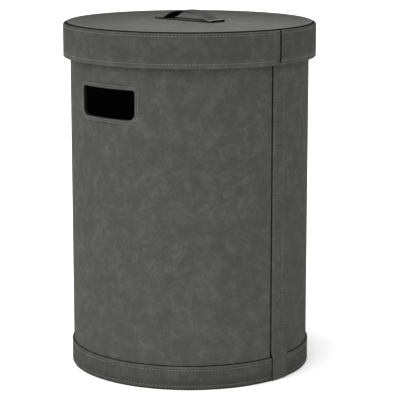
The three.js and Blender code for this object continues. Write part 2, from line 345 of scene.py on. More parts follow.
def start_material(name, sheen, specular):
    """A material with a Principled shader. Gives the material, its tree, the shader and object space."""
    material = bpy.data.materials.new(name)
    material.use_nodes = True
    tree = material.node_tree
    shader = tree.nodes["Principled BSDF"]
    shader.inputs["Sheen Weight"].default_value = sheen
    shader.inputs["Sheen Roughness"].default_value = SHEEN_ROUGHNESS
    shader.inputs["Specular IOR Level"].default_value = specular
    space = tree.nodes.new("ShaderNodeTexCoord").outputs["Object"]
    return material, tree, shader, space


def add_nap(tree, shader, space, colour, size, contrast, matt, worn):
    """Cloudy colour of a finish. Its roughness goes from matt to worn with the clouds."""
    inputs = {"Vector": space, "Colour": colour, "Cloud size": size, "Contrast": contrast}
    clouds = place_group(tree, nap_clouds, inputs)
    tree.links.new(remap(tree, clouds["Cloud"], 0.0, 1.0, matt, worn), shader.inputs["Roughness"])
    return clouds["Colour"]


def add_grain(tree, space, size, pebble):
    """Height of the fine grain."""
    inputs = {"Vector": space, "Grain size": size, "Pebble": pebble}
    return place_group(tree, fine_grain, inputs)["Height"]


def add_bump(tree, shader, height, strength, distance):
    """Feed a height into the shader's normal."""
    inputs = {"Height": height, "Strength": strength, "Distance": distance}
    bump = wire(tree, "ShaderNodeBump", inputs)
    tree.links.new(bump.outputs["Normal"], shader.inputs["Normal"])


def make_leather():
    material, tree, shader, space = start_material("grey_faux_leather", sheen=0.0, specular=0.03)
    tone = wire(tree, "ShaderNodeAttribute", {}, attribute_name="dye_and_painted_light_tone").outputs["Fac"]
    nap = add_nap(tree, shader, space, LEATHER_GREY, size=0.026, contrast=0.19, matt=0.95, worn=0.84)
    edge_values = {"Vector": space, "Colour": nap, "Tone": tone, "Painted highlight": 0.26}
    edges = place_group(tree, dye_and_painted_light_tones, edge_values)
    tree.links.new(edges["Colour"], shader.inputs["Base Color"])
    grain = add_grain(tree, space, size=0.0011, pebble=0.7)
    add_bump(tree, shader, grain, strength=0.35, distance=0.00025)
    return material


leather = make_leather()
print("finish", leather.name, "nodes:", len(leather.node_tree.nodes))

# %% [markdown]
# The lining is black non-woven felt: no shine, and short fibres that lie in all directions.
# Two grains, one stretched along the wall and one across it, give the crossed fibres.

# %% Finish: black felt
FELT_BLACK = (0.016, 0.016, 0.017, 1.0)


def stretch_space(tree, space, scale):
    """Object space stretched, so that a grain in it runs one way."""
    return wire(tree, "ShaderNodeMapping", {"Vector": space, "Scale": scale}).outputs["Vector"]


def make_felt():
    material, tree, shader, space = start_material("black_felt", sheen=0.15, specular=0.1)
    nap = add_nap(tree, shader, space, FELT_BLACK, size=0.012, contrast=0.25, matt=0.98, worn=0.88)
    tree.links.new(nap, shader.inputs["Base Color"])
    upright = stretch_space(tree, space, (1.0, 1.0, 0.2))
    level = stretch_space(tree, space, (0.3, 0.3, 1.0))
    heights = [add_grain(tree, way, size=0.0006, pebble=0.0) for way in (upright, level)]
    add_bump(tree, shader, reckon(tree, "MAXIMUM", *heights), strength=0.6, distance=0.0004)
    return material


felt = make_felt()
print("finish", felt.name, "nodes:", len(felt.node_tree.nodes))

# %% [markdown]
# The boards are raw pressed fibre, brown-grey and a little flecked. They stay the frame's own
# pieces, and only get this finish.

# %% Finish: pressed fibreboard
BOARD_BROWN = (0.27, 0.21, 0.15, 1.0)
FLECK_BROWN = (0.12, 0.085, 0.055, 1.0)
FLECKS_PER_METRE = 900.0
FLECK_SHARE = 0.7


def make_fibreboard():
    material, tree, shader, space = start_material("pressed_fibreboard", sheen=0.0, specular=0.25)
    nap = add_nap(tree, shader, space, BOARD_BROWN, size=0.02, contrast=0.12, matt=0.9, worn=0.78)
    along = stretch_space(tree, space, (1.0, 1.0, 0.35))
    flecked = {"Vector": along, "Scale": FLECKS_PER_METRE, "Detail": 2.0}
    specks = wire(tree, "ShaderNodeTexNoise", flecked).outputs["Fac"]
    fleck = remap(tree, specks, 0.58, 0.68, 0.0, FLECK_SHARE)
    tree.links.new(blend_colours(tree, fleck, nap, FLECK_BROWN), shader.inputs["Base Color"])
    grain = add_grain(tree, along, size=0.0009, pebble=0.3)
    add_bump(tree, shader, grain, strength=0.4, distance=0.0003)
    return material


fibreboard = make_fibreboard()
print("finish", fibreboard.name, "nodes:", len(fibreboard.node_tree.nodes))

# %% [markdown]
# The thread is light grey and twisted. Each stitch carries the value along, which runs from
# 0 to 1 from one needle hole to the next, and the group turns it into the plies' slanting
# bands, with the grooves between them painted darker as shade. The ends of a stitch sink into
# the leather, and they are painted darker as shade.

# %% Finish: twisted thread
THREAD_GREY = (0.155, 0.155, 0.145, 1.0)
PLY_BANDS = 4.0
PLY_GROOVE_SHADE = 0.35
SUNK_END_SHADE = 0.7


def make_thread_twist():
    inputs = {"Along": (NUMBER, 0.0), "Bands": (NUMBER, PLY_BANDS)}
    tree, given, end = start_group("thread_twist", inputs, {"Height": NUMBER, "Sunk": NUMBER})
    turns = reckon(tree, "MULTIPLY", reckon(tree, "MULTIPLY", given["Along"], given["Bands"]), math.tau)
    wave = reckon(tree, "SINE", turns, 0.0)
    tree.links.new(remap(tree, wave, -1.0, 1.0, 0.0, 1.0), end.inputs["Height"])
    from_middle = reckon(tree, "ABSOLUTE", reckon(tree, "SUBTRACT", given["Along"], 0.5), 0.0)
    tree.links.new(remap(tree, from_middle, 0.3, 0.5, 0.0, 1.0), end.inputs["Sunk"])
    return tree


thread_twist = make_thread_twist()


def make_thread():
    material, tree, shader, space = start_material("grey_thread", sheen=0.1, specular=0.35)
    along = wire(tree, "ShaderNodeAttribute", {}, attribute_name="along").outputs["Fac"]
    twist = place_group(tree, thread_twist, {"Along": along, "Bands": PLY_BANDS})
    nap = add_nap(tree, shader, space, THREAD_GREY, size=0.02, contrast=0.15, matt=0.7, worn=0.55)
    # The grooves between the plies are painted darker as shade.
    grooved = remap(tree, twist["Height"], 0.0, 0.5, PLY_GROOVE_SHADE, 0.0)
    shaded = blend_colours(tree, grooved, nap, LEATHER_GREY)
    # The sunk ends are painted darker as shade.
    sunk = reckon(tree, "MULTIPLY", twist["Sunk"], SUNK_END_SHADE)
    tree.links.new(blend_colours(tree, sunk, shaded, LEATHER_GREY), shader.inputs["Base Color"])
    add_bump(tree, shader, twist["Height"], strength=0.5, distance=0.0001)
    return material


thread = make_thread()
print("finish", thread.name, "group", thread_twist.name)

# %% [markdown]
# The floor is a plain pale sweep, so wide that its end never shows.

# %% Floor
FLOOR_REACH = 16.0
FLOOR_PALE = (0.94, 0.94, 0.94, 1.0)
FLOOR_ROUGHNESS = 0.9


def make_floor():
    material, tree, shader, space = start_material("pale_floor", sheen=0.0, specular=0.2)
    values = {"Vector": space, "Colour": FLOOR_PALE, "Cloud size": 0.8, "Contrast": 0.01}
    clouds = place_group(tree, nap_clouds, values)
    tree.links.new(clouds["Colour"], shader.inputs["Base Color"])
    shader.inputs["Roughness"].default_value = FLOOR_ROUGHNESS
    bm = bmesh.new()
    bmesh.ops.create_grid(bm, x_segments=8, y_segments=8, size=FLOOR_REACH)
    mesh = bpy.data.meshes.new("floor")
    bm.to_mesh(mesh)
    bm.free()
    mesh.materials.append(material)
    floor = bpy.data.objects.new("floor", mesh)
    scene.collection.objects.link(floor)


make_floor()
print("floor reaches", FLOOR_REACH, "m each way")

# %% [markdown]
# Three helpers finish every piece. The first makes the faces point outwards before a wall gets
# its thickness. The second scales to metres, makes the object, and hands it to the frame.
# The third is for leather and felt: it gives a sheet its real thickness, inwards from the face
# that shows.

# %% Finishing helpers
SMOOTH_ANGLE = math.radians(48)
FINISHES = {"faux_leather": leather, "lining": felt, "thread": thread}
made_pieces = []


def away_from_axis(point):
    """Direction from the upright axis."""
    return Vector((point.x, point.y, 0.0))


def to_the_axis(point):
    """Direction towards the upright axis."""
    return -away_from_axis(point)


def upwards(point):
    """Straight up."""
    return Vector((0.0, 0.0, 1.0))


def downwards(point):
    """Straight down."""
    return -upwards(point)


def face_outwards(bm, outwards):
    """Recalculate the normals, and turn them all round if most look the wrong way."""
    bmesh.ops.recalc_face_normals(bm, faces=bm.faces)
    look = 0.0
    for face in bm.faces:
        look += face.normal.dot(outwards(face.calc_center_median())) * face.calc_area()
    if look < 0:
        bmesh.ops.reverse_faces(bm, faces=bm.faces)


def finish_piece(name, bm, slot, body, replaces=(), outwards=None):
    """Make an object of a finished bmesh, and say what it is made of and what it moves with."""
    bmesh.ops.scale(bm, vec=(MM, MM, MM), verts=bm.verts)
    if outwards:
        face_outwards(bm, outwards)
    mesh = bpy.data.meshes.new(name)
    bm.to_mesh(mesh)
    bm.free()
    mesh.materials.append(FINISHES[slot])
    mesh.shade_smooth()
    mesh.set_sharp_from_angle(angle=SMOOTH_ANGLE)
    piece = bpy.data.objects.new(name, mesh)
    scene.collection.objects.link(piece)
    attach(piece, body)
    if replaces:
        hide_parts(*replaces)
    made_pieces.append(piece)
    print(f"{name}: {len(mesh.polygons)} faces")
    return piece


def finish_sheet(name, bm, slot, body, node, outwards, thickness, flat, held, rests_on, area=None):
    """Finish a sheet that was cut flat, with sizes in millimetres. A closed section needs no thickness."""
    piece = finish_piece(name, bm, slot, body, [node], outwards)
    if thickness:
        wall = piece.modifiers.new("thickness", "SOLIDIFY")
        wall.thickness = thickness * MM
        wall.offset = -1.0
        wall.use_even_offset = False
    area = area and area * MM * MM


def disc_cut(across):
    """The flat size and area of a round sheet."""
    return {"flat": (across, across), "area": math.pi * across * across / 4}


print("finishes:", sorted(FINISHES))

# %% [markdown]
# A turned piece starts as its profile, a short line of vertices at the seam, and
# bmesh.ops.spin sweeps it once round. Each profile point is a radius, a height and an edge tone.
# A lathe or a screw modifier could do the same, but spin leaves a plain mesh that can be cut.

# %% Turning helper
# The darkest value: dye on cut edges, and painted shade in creases, grooves and undersides.
DYE_AND_PAINTED_SHADE = -1.0
ROUND_STEPS = 256
WELD = 1e-4
CHANNEL_HALF = 1.3
CHANNEL_DEPTH = 0.35
CHANNEL_BANK = 0.7
CHANNEL_SHADE = -0.12


def turn(profile):
    """Spin a profile of (radius, height, tone) once round the upright axis."""
    bm = bmesh.new()
    tone = bm.verts.layers.float.new("dye_and_painted_light_tone")
    line = []
    for radius, height, shade in profile:
        vert = bm.verts.new(polar(radius, 0.0, height))
        vert[tone] = shade
        line.append(vert)
    edges = [bm.edges.new(pair) for pair in zip(line, line[1:])]
    bmesh.ops.spin(
        bm, geom=line + edges, cent=(0, 0, 0), axis=(0, 0, 1), angle=math.tau,
        steps=ROUND_STEPS, use_merge=True,
    )
    bmesh.ops.remove_doubles(bm, verts=bm.verts, dist=WELD)
    return bm


def channel(radius, height, tone=0.0):
    """The shallow channel that a row of stitches pulls into the leather, as profile points going up. Its
    bottom is painted a shade darker.
    """
    bank = radius - CHANNEL_BANK * CHANNEL_DEPTH
    return [
        (radius, height - CHANNEL_HALF, tone),
        (bank, height - CHANNEL_HALF / 2, tone),
        (radius - CHANNEL_DEPTH, height, tone + CHANNEL_SHADE),
        (bank, height + CHANNEL_HALF / 2, tone),
        (radius, height + CHANNEL_HALF, tone),
    ]


print("one turn has", ROUND_STEPS, "steps of", round(math.tau * COVER_RADIUS / ROUND_STEPS, 2), "mm")

# %% [markdown]
# Some pieces grow ring by ring instead: the turned edge of a hand-hole, a strip with a step in
# it, a strap. extrude_edge_only grows a ring, and each new vertex is put where the key of
# its parent says. A key can be anything that tells one vertex of the ring from the next.

# %% Growing helper
def grow_ring(bm, edges, keys, place, tone):
    """Extrude a ring of edges, and put each new vertex and its edge tone where place(key) says."""
    grown = bmesh.ops.extrude_edge_only(bm, edges=edges)["geom"]
    new_keys = {}
    for vert in [g for g in grown if isinstance(g, bmesh.types.BMVert)]:
        parents = [edge.other_vert(vert) for edge in vert.link_edges if edge.other_vert(vert) in keys]
        new_keys[vert] = keys[parents[0]]
    for vert, key in new_keys.items():
        vert.co, vert[tone] = place(key)
    grown_edges = [g for g in grown if isinstance(g, bmesh.types.BMEdge)]
    return [edge for edge in grown_edges if all(v in new_keys for v in edge.verts)], new_keys


def start_ring(bm, points, keys):
    """A closed ring of vertices and edges, each vertex with its key."""
    verts = [bm.verts.new(point) for point in points]
    edges = [bm.edges.new(pair) for pair in zip(verts, verts[1:] + verts[:1])]
    return edges, dict(zip(verts, keys))


def loft(rings):
    """Skin closed rings of (point, tone), one after the other, and close both ends."""
    bm = bmesh.new()
    tone = bm.verts.layers.float.new("dye_and_painted_light_tone")
    edges, keys = start_ring(bm, [point for point, _ in rings[0]], range(len(rings[0])))
    for vert, index in keys.items():
        vert[tone] = rings[0][index][1]
    first = list(edges)
    for ring in rings[1:]:
        edges, keys = grow_ring(bm, edges, keys, lambda index: ring[index], tone)
    bmesh.ops.holes_fill(bm, edges=first + edges, sides=0)
    bmesh.ops.recalc_face_normals(bm, faces=bm.faces)
    return bm


print("growing helpers ready")

# %% [markdown]
# The hand-hole is an opening with tight upper corners and wide lower ones. Its outline is
# walked side by side. A side runs from the middle of one corner's arc to the middle of the
# next, so that a sheet's square opening can be pulled onto it corner to corner.

# %% Hand-hole outline
FLANGE = 11.0
FACING = 1.0
TOP_CORNER = 4.0
FOOT_CORNER = 11.0
facing_low, facing_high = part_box("hand_hole_facing_left")
HOLE_HALF = facing_high.y / MM - FLANGE
HOLE_FOOT = facing_low.z / MM + FLANGE
HOLE_TOP = facing_high.z / MM - FLANGE
HOLE_MIDDLE = (HOLE_FOOT + HOLE_TOP) / 2
HOLE_AREA = 2 * HOLE_HALF * (HOLE_TOP - HOLE_FOOT)
OUTLINE_STEPS = 26
OUTLINE_KEYS = [(side, step / OUTLINE_STEPS) for side in range(4) for step in range(OUTLINE_STEPS)]


def hole_outline(side, share, grow):
    """Point (across, height) of the outline grown by grow. Sides 0 to 3: foot, right, top, left."""
    across = HOLE_HALF + grow
    low, high = HOLE_FOOT - grow, HOLE_TOP + grow
    corners = [(-across, low), (across, low), (across, high), (-across, high)]
    radii = [FOOT_CORNER, FOOT_CORNER, TOP_CORNER, TOP_CORNER]
    start, finish = Vector(corners[side]), Vector(corners[(side + 1) % 4])
    first, last = radii[side] + grow, radii[(side + 1) % 4] + grow
    ahead = (finish - start).normalized()
    inside = Vector((-ahead.y, ahead.x))
    first_arc, last_arc = first * math.pi / 4, last * math.pi / 4
    straight = (finish - start).length - first - last
    distance = share * (first_arc + straight + last_arc)
    if distance < first_arc:
        bend = math.pi / 4 * (1 - distance / first_arc)
        centre = start + ahead * first + inside * first
        return centre - ahead * math.sin(bend) * first - inside * math.cos(bend) * first
    if distance < first_arc + straight:
        return start + ahead * (first + distance - first_arc)
    bend = math.pi / 4 * (distance - first_arc - straight) / last_arc
    centre = finish - ahead * last + inside * last
    return centre + ahead * math.sin(bend) * last - inside * math.cos(bend) * last


def round_hole(key, centre, radius, grow, out):
    """A point round a hand-hole in a flat sheet, which stands off the wall once it is rolled up."""
    across, height = hole_outline(*key, grow)
    return Vector((centre + radius * math.asin(across / (radius + out)), -out, height))


print(f"hand-hole {2 * HOLE_HALF:.1f} x {HOLE_TOP - HOLE_FOOT:.1f} mm")

# %% [markdown]
# A rolled wall is cut flat and bent round, as the real one is. The flat sheet stands in the
# XZ plane, with the distance round the wall along X and the outside towards -Y. The holes are
# opened while it is still flat: the cells in the way are deleted, and the edge of the opening
# grows ring by ring onto the outline and through the wall.

# %% Rolled wall helpers
WALL_COLUMNS = 352
WALL_ROWS = 72
HOLE_CLEAR = 10.5


def flat_wall(radius, foot, top, slit):
    """A flat sheet that goes once round at that radius, less a slit, with its cells square to the edges."""
    width, height = math.tau * radius - slit, top - foot
    bm = bmesh.new()
    bm.verts.layers.float.new("dye_and_painted_light_tone")
    bmesh.ops.create_grid(bm, x_segments=WALL_COLUMNS, y_segments=WALL_ROWS, size=0.5)
    bmesh.ops.scale(bm, vec=(width, height, 1.0), verts=bm.verts)
    bmesh.ops.rotate(bm, cent=(0, 0, 0), matrix=Matrix.Rotation(math.pi / 2, 3, "X"), verts=bm.verts)
    bmesh.ops.translate(bm, vec=(width / 2 + slit / 2, 0, foot + height / 2), verts=bm.verts)
    return bm


def cut_across(bm, place, direction):
    """Cut new edges into a sheet where a plane crosses it."""
    everything = bm.verts[:] + bm.edges[:] + bm.faces[:]
    bmesh.ops.bisect_plane(bm, geom=everything, plane_co=place, plane_no=direction)


def opening_keys(border):
    """Side and share along it of each vertex round a square opening."""
    verts = {vert for edge in border for vert in edge.verts}
    low = Vector((min(v.co.x for v in verts), 0, min(v.co.z for v in verts)))
    high = Vector((max(v.co.x for v in verts), 0, max(v.co.z for v in verts)))
    size = high - low
    keys = {}
    for vert in verts:
        right, up = (vert.co.x - low.x) / size.x, (vert.co.z - low.z) / size.z
        if up < WELD:
            keys[vert] = (0, right)
        elif right > 1 - WELD:
            keys[vert] = (1, up)
        elif up > 1 - WELD:
            keys[vert] = (2, 1 - right)
        else:
            keys[vert] = (3, 1 - up)
    return keys


def open_hole(bm, radius, centre, rings):
    """Open a hand-hole at a distance along the sheet. A ring is (outside the outline, out, tone)."""
    tone = bm.verts.layers.float["dye_and_painted_light_tone"]
    reach_x = HOLE_HALF + HOLE_CLEAR
    reach_z = HOLE_TOP - HOLE_MIDDLE + HOLE_CLEAR

    def in_the_way(point, more=0.0):
        return abs(point.x - centre) < reach_x + more and abs(point.z - HOLE_MIDDLE) < reach_z + more

    doomed = [face for face in bm.faces if in_the_way(face.calc_center_median())]
    bmesh.ops.delete(bm, geom=doomed, context="FACES")
    near = [edge for edge in bm.edges if edge.is_boundary and in_the_way(edge.verts[0].co, HOLE_CLEAR)]
    bmesh.ops.subdivide_edges(bm, edges=near, cuts=1)
    edges = [edge for edge in bm.edges if edge.is_boundary and in_the_way(edge.verts[0].co, HOLE_CLEAR)]
    keys = opening_keys(edges)
    for grow, out, shade in rings:
        def place(key):
            return round_hole(key, centre, radius, grow, out), shade

        edges, keys = grow_ring(bm, edges, keys, place, tone)


def roll_up(bm, radius):
    """Bend a flat sheet round the upright axis."""
    for vert in bm.verts:
        vert.co = polar(radius - vert.co.y, vert.co.x / radius, vert.co.z)


RIGHT_HOLE, LEFT_HOLE = 0.25, 0.75
print("wall cells:", WALL_COLUMNS * WALL_ROWS)

# %% [markdown]
# The body's cover is one piece of faux leather glued round the board. Three things break its
# plain wall. The leather is pressed in along the seam strip's left edge and along the top of
# the base band, and both creases are painted dark as shade. Round each hand-hole a row of
# stitches pulls a shallow channel, the leather swells between the row and the hole, where it is
# painted lighter as a highlight, and then it turns in, painted dark as shade.

# %% Body cover
LEATHER_THICK = 1.2
COVER_SLIT = 1.0
STRIP_HALF = 18.0
ROW_FROM_HOLE = 5.4
CREASE_DEPTH = 0.9
SEAM_CREASE = 1.3
STRIP_TUCK = 0.4
BAND_CREASE = 1.1
CREASE_SIDE = 0.25

# Rings round a hand-hole: the swell is painted lighter as a highlight, and the turn into the hole dark as
# shade.
COVER_EDGE_RINGS = (
    (8.6, 0.0, 0.0),
    (ROW_FROM_HOLE + 1.1, 0.0, 0.0),
    (ROW_FROM_HOLE + 0.5, -0.25, 0.0),
    (ROW_FROM_HOLE, -CHANNEL_DEPTH, CHANNEL_SHADE),
    (ROW_FROM_HOLE - 0.5, -0.25, 0.0),
    (ROW_FROM_HOLE - 1.2, 0.05, 0.0),
    (3.4, 0.35, 0.2),
    (2.2, 0.35, 0.8),
    (1.3, 0.15, 0.9),
    (0.7, -0.25, 0.3),
    (0.3, -0.8, -0.6),
    (0.08, -1.6, DYE_AND_PAINTED_SHADE),
    (0.0, -2.6, DYE_AND_PAINTED_SHADE),
)


def crease(distance, width):
    """Depth and tone of a crease painted dark as shade, at a distance from where it starts."""
    if -WELD <= distance <= width + WELD:
        return CREASE_DEPTH, DYE_AND_PAINTED_SHADE
    return 0.0, 0.0


def make_body_cover():
    bm = flat_wall(COVER_RADIUS, COVER_FOOT, COVER_TOP, COVER_SLIT)
    tone = bm.verts.layers.float["dye_and_painted_light_tone"]
    strip_left = math.tau * COVER_RADIUS - STRIP_HALF
    for x in (-SEAM_CREASE - CREASE_SIDE, -SEAM_CREASE, STRIP_TUCK, STRIP_TUCK + CREASE_SIDE):
        cut_across(bm, (strip_left + x, 0, 0), (1, 0, 0))
    for z in (-CREASE_SIDE, 0.0, BAND_CREASE, BAND_CREASE + CREASE_SIDE):
        cut_across(bm, (0, 0, BAND_TOP + z), (0, 0, 1))
    for vert in bm.verts:
        beside_strip = crease(vert.co.x - strip_left + SEAM_CREASE, SEAM_CREASE + STRIP_TUCK)
        above_band = crease(vert.co.z - BAND_TOP, BAND_CREASE)
        vert.co.y = max(beside_strip[0], above_band[0])
        vert[tone] = min(beside_strip[1], above_band[1])
    for turned in (RIGHT_HOLE, LEFT_HOLE):
        open_hole(bm, COVER_RADIUS, turned * math.tau * COVER_RADIUS, COVER_EDGE_RINGS)
    roll_up(bm, COVER_RADIUS)
    width, height = math.tau * COVER_RADIUS, COVER_TOP - COVER_FOOT
    finish_sheet(
        "body_cover_leather", bm, "faux_leather", "hamper", "body_cover", away_from_axis, LEATHER_THICK,
        flat=(width, height), area=width * height - 2 * HOLE_AREA,
        held="stretched", rests_on=["body_board"],
    )


make_body_cover()

# %% [markdown]
# Through each hole goes a facing: a black-dyed sleeve that lines the cut edge of the board, with
# a flange that lies flat on the inside. It starts as one closed outline and grows inwards, then
# spreads into the flange.

# %% Hand-hole facings
SLEEVE_START = (0.3, -1.8)
LINING_RADIUS, LINING_FOOT, LINING_TOP = measure("body_lining")
LINING_THICK = 0.8
FACING_GAP = 0.3
FLANGE_OUT = LINING_RADIUS - LINING_THICK - FACING_GAP - FACING - COVER_RADIUS
FACING_THICK = 0.8
FACING_TONE = -0.93
FACING_RINGS = (
    (0.1, -2.4),
    (0.0, -4.0),
    (0.0, FLANGE_OUT + 0.8),
    (0.25, FLANGE_OUT + 0.25),
    (0.9, FLANGE_OUT),
    (3.5, FLANGE_OUT),
    (ROW_FROM_HOLE, FLANGE_OUT + 0.2),
    (8.5, FLANGE_OUT),
    (10.5, FLANGE_OUT + 0.1),
    (FLANGE, FLANGE_OUT + 0.5),
)


def make_facing(name, node, turned):
    bm = bmesh.new()
    tone = bm.verts.layers.float.new("dye_and_painted_light_tone")
    centre = turned * math.tau * COVER_RADIUS

    def place_at(grow, out):
        return lambda key: (round_hole(key, centre, COVER_RADIUS, grow, out), FACING_TONE)

    start = place_at(*SLEEVE_START)
    edges, keys = start_ring(bm, [start(key)[0] for key in OUTLINE_KEYS], OUTLINE_KEYS)
    for vert in keys:
        vert[tone] = FACING_TONE
    for ring in FACING_RINGS:
        edges, keys = grow_ring(bm, edges, keys, place_at(*ring), tone)
    roll_up(bm, COVER_RADIUS)
    width, height = 2 * (HOLE_HALF + FLANGE), HOLE_TOP - HOLE_FOOT + 2 * FLANGE
    sleeve = 4 * (HOLE_HALF + (HOLE_TOP - HOLE_FOOT) / 2) * -FLANGE_OUT
    finish_sheet(
        name, bm, "faux_leather", "hamper", node, to_the_axis, FACING_THICK,
        flat=(width, height), area=width * height - HOLE_AREA + sleeve,
        held="stretched", rests_on=["body_board", "body_lining"],
    )


make_facing("left_hand_hole_lip", "hand_hole_facing_left", LEFT_HOLE)
make_facing("right_hand_hole_lip", "hand_hole_facing_right", RIGHT_HOLE)

# %% [markdown]
# The body's lining is felt, rolled like the cover but on the inside of the board. Its holes are
# a little wider than the cover's, and the facings' flanges lie over their edges.

# %% Body lining
LINING_HOLE_RINGS = ((6.0, 0.0, 0.0), (1.3, 0.0, 0.0))


def make_body_lining():
    bm = flat_wall(LINING_RADIUS, LINING_FOOT, LINING_TOP, 0.0)
    for turned in (RIGHT_HOLE, LEFT_HOLE):
        open_hole(bm, LINING_RADIUS, turned * math.tau * LINING_RADIUS, LINING_HOLE_RINGS)
    roll_up(bm, LINING_RADIUS)
    bmesh.ops.remove_doubles(bm, verts=bm.verts, dist=WELD)
    width, height = math.tau * LINING_RADIUS, LINING_TOP - LINING_FOOT
    finish_sheet(
        "body_felt", bm, "lining", "hamper", "body_lining", away_from_axis, LINING_THICK,
        flat=(width, height), area=width * height - 2 * HOLE_AREA,
        held="stretched", rests_on=["body_board"],
    )


make_body_lining()

# %% [markdown]
# The base band is a strip of leather over a stiffener, turned in over its top edge and folded
# flat under the base. Its profile goes from the hidden end of the top hem, over the rolled
# edge, down past two stitch channels, and in under the base. The rolled edge is painted lighter
# as a highlight, the wall is painted a shade darker, twice as dark at the lower row, and the
# turn under the base is painted dark as shade.

# %% Base band
BAND_THICK = 0.8
UNDER_HEM_SPARE = 5.0
BAND_PAINTED_SHADE = -0.15
BAND_ROW_TOP = BAND_TOP - 5.8
BAND_ROW_FOOT = 6.2
UNDERSIDE_RADIUS = measure("bottom_cover")[0] + 0.3
HEM_RADIUS = COVER_RADIUS + 0.3


def band_profile():
    edge = BAND_RADIUS
    rolled = [
        (HEM_RADIUS, BAND_TOP - 3.0, DYE_AND_PAINTED_SHADE),
        (HEM_RADIUS + 0.05, BAND_TOP - 0.6, DYE_AND_PAINTED_SHADE),
        (HEM_RADIUS + 0.5, BAND_TOP - 0.1, -0.9),
        (HEM_RADIUS + 1.0, BAND_TOP, -0.2),
        (edge - 0.6, BAND_TOP - 0.05, 0.1),
        (edge - 0.05, BAND_TOP - 0.5, 0.5),
        (edge + 0.25, BAND_TOP - 1.5, 0.2),
        (edge + 0.2, BAND_TOP - 3.0, 0.0),
    ]
    # The wall is painted a shade darker, twice as dark at the lower row; the turn under the base is painted
    # dark as shade.
    wall = channel(edge, BAND_ROW_TOP, BAND_PAINTED_SHADE)[::-1]
    wall += [(edge, (BAND_ROW_TOP + BAND_ROW_FOOT) / 2, BAND_PAINTED_SHADE)]
    wall += channel(edge, BAND_ROW_FOOT, 2 * BAND_PAINTED_SHADE)[::-1]
    under = [
        (edge + 0.15, 3.6, 0.0),
        (edge + 0.1, 2.4, -0.35),
        (edge - 0.1, 1.5, -0.9),
        (edge - 0.5, 0.7, DYE_AND_PAINTED_SHADE),
        (edge - 1.3, 0.12, DYE_AND_PAINTED_SHADE),
        (edge - 2.6, 0.0, -0.7),
        (UNDERSIDE_RADIUS + 8.0, 0.0, 0.0),
        (UNDERSIDE_RADIUS, 0.0, -0.6),
    ]
    return rolled + wall + under


finish_sheet(
    "base_band_leather", turn(band_profile()), "faux_leather", "hamper", "base_band",
    away_from_axis, BAND_THICK,
    flat=(math.tau * BAND_RADIUS, BAND_TOP + (BAND_RADIUS - UNDERSIDE_RADIUS) + UNDER_HEM_SPARE),
    held="stretched", rests_on=["base_ring_board", "base_board"],
)
print("base band wall height:", round(BAND_TOP, 1), "mm")

# %% [markdown]
# The seam strip covers the joint of the body's cover. Its left edge is turned under, so it
# stands up as a soft roll, painted lighter as a highlight, with dye and painted shade beneath
# it, and its right edge is pared thin and almost vanishes. Low down it rises over the base
# band, and its turned-under foot is painted dark as shade. It lifts off the wall a little
# above the band, because leather doesn't follow a sharp step. Rings of one closed section are
# lofted from the foot up.

# %% Seam strip
STRIP_GAP = 0.3
_, STRIP_FOOT, STRIP_TOP = measure("seam_strip")
STRIP_STEP = BAND_RADIUS - COVER_RADIUS + STRIP_GAP
STRIP_TENT = 11.0
STRIP_ROWS = (-13.6, 6.8)
STRIP_FACE = STRIP_GAP + LEATHER_THICK


def strip_channel(x, far_side=0.0):
    """A stitch channel across the strip's section."""
    near = [(x - 1.2, 0.0, 0.0), (x - 0.5, -0.22, 0.0), (x, -0.32, CHANNEL_SHADE)]
    return near + [(x + 0.5, -0.22, 0.0), (x + 1.2, far_side, 0.0)]


# The roll on the left edge is painted lighter as a highlight, with dye and painted shade beneath it.
STRIP_SECTION = [
    (-STRIP_HALF, -1.2, DYE_AND_PAINTED_SHADE),
    (-STRIP_HALF - 0.05, -0.55, DYE_AND_PAINTED_SHADE),
    (-STRIP_HALF + 0.1, -0.05, -0.5),
    (-STRIP_HALF + 0.45, 0.28, 0.6),
    (-STRIP_HALF + 1.1, 0.42, 0.9),
    (-STRIP_HALF + 2.0, 0.36, 0.6),
    (-STRIP_HALF + 2.8, 0.15, 0.2),
    *strip_channel(STRIP_ROWS[0]),
    (sum(STRIP_ROWS) / 2, 0.06, 0.0),
    *strip_channel(STRIP_ROWS[1], -0.05),
    (STRIP_HALF - 6.0, -0.35, 0.0),
    (STRIP_HALF - 2.5, -0.85, 0.0),
    (STRIP_HALF, -1.35, 0.0),
    (STRIP_HALF, -1.6, 0.0),
    (0.0, -1.6, 0.0),
    (-STRIP_HALF + 0.6, -1.6, DYE_AND_PAINTED_SHADE),
]
# The section's last points lie on the wall, and don't lift with the face.
STRIP_FOLLOWS_WALL = 3
TURNED_UNDER = 0.5
FOOT_TUCKS = ((0.0, 0.9), (0.35, 0.35), (1.1, 0.08), (2.2, 0.0))
TENT_SPARE = 3.0
TENT_STEPS = 44
WALL_STEPS = 128
NARROWING_START = 2.0
NARROWING_LENGTH = 6.0


def ease(share):
    """Smooth step from 0 to 1."""
    held = min(max(share, 0.0), 1.0)
    return held * held * (3 - 2 * held)


def strip_lift(height):
    """How far the strip's face stands off the body's wall, past its own thickness."""
    return STRIP_STEP * ease((BAND_TOP + STRIP_TENT - height) / (STRIP_TENT + 0.5))


def strip_ground(height):
    """Where the strip rests: on the wall, or on the band."""
    return STRIP_STEP if height < BAND_TOP else 0.0


def strip_point(x, out, height):
    """A point of the strip, at a distance across it and out from its plain face."""
    return polar(COVER_RADIUS + STRIP_FACE + out, x / COVER_RADIUS, height)


